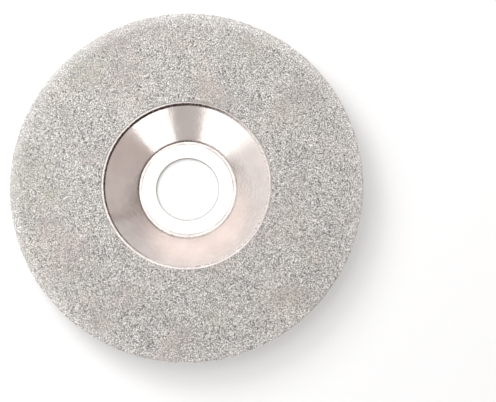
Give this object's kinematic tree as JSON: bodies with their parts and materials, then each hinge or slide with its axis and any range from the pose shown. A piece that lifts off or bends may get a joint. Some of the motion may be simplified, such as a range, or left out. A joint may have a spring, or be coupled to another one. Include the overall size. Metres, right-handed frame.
{
  "type": "diamond grinding wheel",
  "caption": "Dished steel grinding wheel with a plain bore, plated with nickel, its flat ring and rim coated with a single layer of diamond grit.",
  "frame": {"origin": "centre of the bore, on the plane of the hub's back face, which is the lowest face", "axes": "+Z along the bore, from the hub's back face towards the diamond face; X and Y lie anywhere across the wheel, which is round"},
  "size_m": [0.125, 0.125, 0.0113],
  "materials": {
    "core_steel": "cold-rolled sheet, sealed under the plating",
    "plating": "nickel, satin on the back and bright in the dish",
    "bond": "matt nickel, built up around the diamonds",
    "face_grit": "sharp diamond grit, nickel-coated",
    "rim_grit": "sharp diamond grit, nickel-coated"
  },
  "bodies": {
    "root": {"steel_core": "core_steel", "nickel_plating": "plating", "nickel_bond": "bond", "face_diamonds": "face_grit", "rim_diamonds": "rim_grit"}
  },
  "joints": []
}
